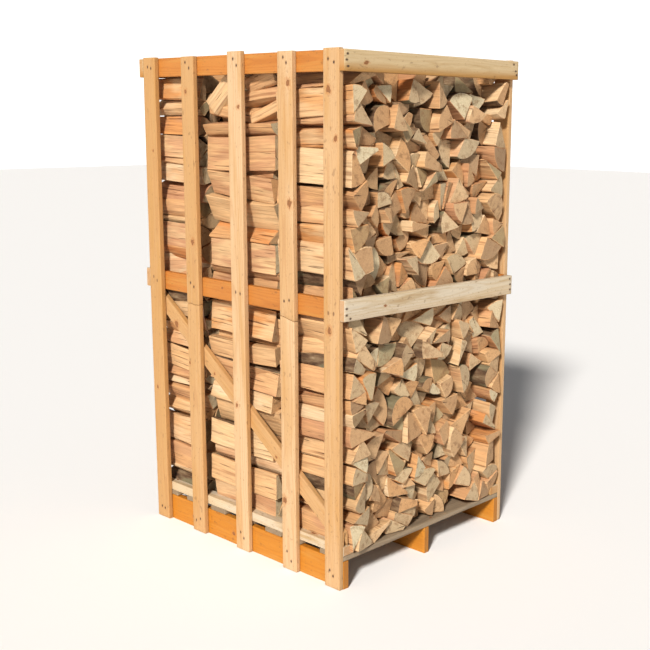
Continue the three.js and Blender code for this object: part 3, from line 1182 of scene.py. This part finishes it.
def bark_colour(g, grain):
    rough = g.noise(grain, (55, 55, 14), detail=5.0, roughness=0.65)
    patch = g.noise(grain, (14, 14, 5), detail=2.0)
    tint = g.ramp(rough, BARK_TONES)
    return g.mix(g.range(patch, 0.52, 0.62, 0.0, 0.6), tint, colour(148, 146, 116)), rough


def log_material():
    g = Graph("log")
    grain = g.vector("grain")
    tone, blush = g.value("tone"), g.value("blush")
    fibre = g.noise(grain, (330, 330, 10), detail=3.0, roughness=0.6)
    streak = g.noise(grain, (85, 85, 4), detail=3.0, roughness=0.6)
    # Cracks along the grain: dented in the bump, and painted dark with their shade.
    crack_and_shade = g.range(g.noise(grain, (130, 130, 3.4), detail=2.0, roughness=0.6), 0.66, 0.71)
    wood = split_wood_colour(g, grain, tone, blush, fibre, streak, crack_and_shade)
    bark_tint, bark_height = bark_colour(g, grain)
    end, end_height = sawn_end_colour(g, grain, tone, blush)
    bark = g.range(g.value("bark"), 0.35, 0.65)
    sawn = g.range(g.value("sawn"), 0.05, 0.45)
    tint = g.mix(bark, wood, bark_tint)
    tint = g.mix(sawn, tint, end)
    wood_height = g.minus(g.math("MULTIPLY_ADD", fibre, 0.5, streak), crack_and_shade)
    side_height = g.mix(bark, wood_height, bark_height)
    g.finish(tint, 0.82, g.mix(sawn, side_height, end_height), 0.0030)


def mark_distance(g, spot, mark, stretch=1.0):
    """How far each point is from its nearest mark in mark sizes: large where there is none."""
    x, y, _ = g.split(spot)
    mark_x, mark_y, size = g.split(mark)
    dx = g.minus(x, mark_x)
    dy = g.math("DIVIDE", g.minus(y, mark_y), stretch)
    return g.math("DIVIDE", g.length(dx, dy), g.math("MAXIMUM", size, 0.0004))


def board_material(name, pale, deep, vein, stain, stain_share, roughness, sawn_end, edge_share=0.0):
    """Sawn softwood: growth rings that bend round knots, streaks, stains and nail marks."""
    pale, deep, vein, stain, sawn_end = (colour(*tint) for tint in (pale, deep, vein, stain, sawn_end))
    g = Graph(name)
    grain, spot = g.vector("grain"), g.vector("spot")
    tone = g.value("tone")
    x, y, z = g.split(grain)
    wander = g.noise(grain, (7, 7, 1.6), detail=2.0)
    ripple = g.noise(grain, (40, 40, 6), detail=1.0)
    uneven = g.noise(grain, (110, 110, 70), detail=2.0)
    knot = mark_distance(g, spot, g.vector("knot"), stretch=1.35)
    knot = g.times(knot, g.range(uneven, 0.3, 0.7, 0.72, 1.4))
    bend = g.times(g.range(knot, 5.0, 0.9), 0.012)
    distance = g.plus(g.length(x, y), g.times(wander, 0.030))
    distance = g.plus(distance, g.times(ripple, 0.003))
    distance = g.plus(distance, g.times(z, 0.006))
    distance = g.plus(distance, bend)
    ring = g.wave(distance, BOARD_RING)
    tint = g.mix(tone, pale, deep)
    broad = g.noise(grain, (16, 16, 1.3), detail=2.0)
    tint = g.mix(g.range(broad, 0.40, 0.65, 0.0, 0.55), tint, deep)
    tint = g.mix(g.range(ring, 0.1, 1.0, 0.0, 0.26), tint, vein)
    fibre = g.noise(grain, (420, 420, 9), detail=3.0, roughness=0.6)
    tint = g.shade(tint, fibre, 0.86, 1.14)
    weather = g.noise(grain, (26, 26, 2.2), detail=4.0, roughness=0.62)
    tint = g.mix(g.range(weather, 0.50, 0.68, 0.0, stain_share), tint, stain)
    # Darker and more orange towards the lower edge and on the underside, more so on deep-toned boards.
    low_edge = g.plus(g.value("rise"), g.times(weather, 0.7))
    edge = g.times(g.range(low_edge, 0.85, 0.40, 0.0, edge_share), tone)
    tint = g.mix(edge, tint, colour(206, 150, 72))
    speck = g.range(g.noise(grain, (150, 150, 60), detail=2.0), 0.62, 0.72, 0.0, 0.30)
    tint = g.mix(speck, tint, colour(150, 112, 74))
    smudge = g.range(g.noise(grain, (60, 60, 30), detail=2.0), 0.66, 0.74, 0.0, 0.35)
    tint = g.mix(smudge, tint, colour(120, 88, 58))
    halo = g.range(knot, 2.6, 1.0, 0.0, 0.55)
    tint = g.mix(halo, tint, colour(216, 146, 84))
    heart = g.shade(colour(178, 118, 70), g.math("SINE", g.times(knot, 16)), 0.75, 1.15)
    tint = g.mix(g.range(knot, 1.15, 0.75, 0.0, 0.85), tint, heart)
    rim = g.times(g.range(knot, 1.25, 1.02), g.range(knot, 0.78, 0.95))
    tint = g.mix(g.times(rim, 0.6), tint, colour(104, 66, 40))
    dents = 0.0
    for mark in NAIL_MARKS:
        nail = mark_distance(g, spot, g.vector(mark), stretch=1.6)
        ragged = g.plus(nail, g.times(g.minus(fibre, 0.5), 1.5))
        tint = g.mix(g.range(ragged, 2.1, 1.2, 0.0, 0.62), tint, colour(112, 74, 48))
        dents = g.plus(dents, g.range(ragged, 1.9, 1.1))
    sawn = g.range(g.value("sawn"), 0.0, 0.4, 0.0, 0.6)
    tint = g.mix(sawn, tint, sawn_end)
    metal = g.value("metal")
    tint = g.mix(metal, tint, colour(92, 80, 70))
    height = g.math("MULTIPLY_ADD", fibre, 0.7, g.times(ring, 0.14))
    height = g.minus(height, g.times(dents, 0.8))
    height = g.minus(height, g.times(rim, 0.5))
    g.feed(g.shader.inputs["Metallic"], g.times(metal, 0.35))
    g.finish(tint, g.range(metal, 0.0, 1.0, roughness, 0.45), height, 0.0007)


YELLOW_STAIN, TAN_STAIN = (236, 186, 104), (206, 170, 116)
# Screen colours of each kind of board in the light: pale and deep wood, growth rings and stains; how
# much of it is stained, its roughness, its sawn ends, and how much deeper orange its lower edge is.
BOARD_LOOKS = {
    "slat": (
        (248, 210, 166), (226, 176, 116), (208, 148, 92), (222, 166, 92), 0.45, 0.62, (196, 150, 98)
    ),
    "rail": ((248, 174, 94), (220, 143, 66), (196, 116, 48), YELLOW_STAIN, 0.35, 0.60, (190, 122, 60)),
    "side_rail": (
        (250, 236, 214), (240, 212, 166), (220, 184, 134), TAN_STAIN, 0.7, 0.75, (214, 148, 76), 0.95
    ),
    "pallet": ((238, 164, 60), (224, 146, 46), (204, 124, 36), YELLOW_STAIN, 0.3, 0.60, (196, 134, 62)),
    "deck": (
        (214, 194, 166), (184, 164, 138), (156, 132, 106), (140, 124, 106), 0.6, 0.80, (160, 134, 104)
    ),
}


make_camera()
make_light()
make_floor()
log_material()
for board, look in BOARD_LOOKS.items():
    board_material(board, *look)
make_pallet()
make_panel("front", -1)
make_panel("back", 1)
make_splinter()
make_side_rails("left", -1, 1)
make_side_rails("right", 1, 5)
make_logs()
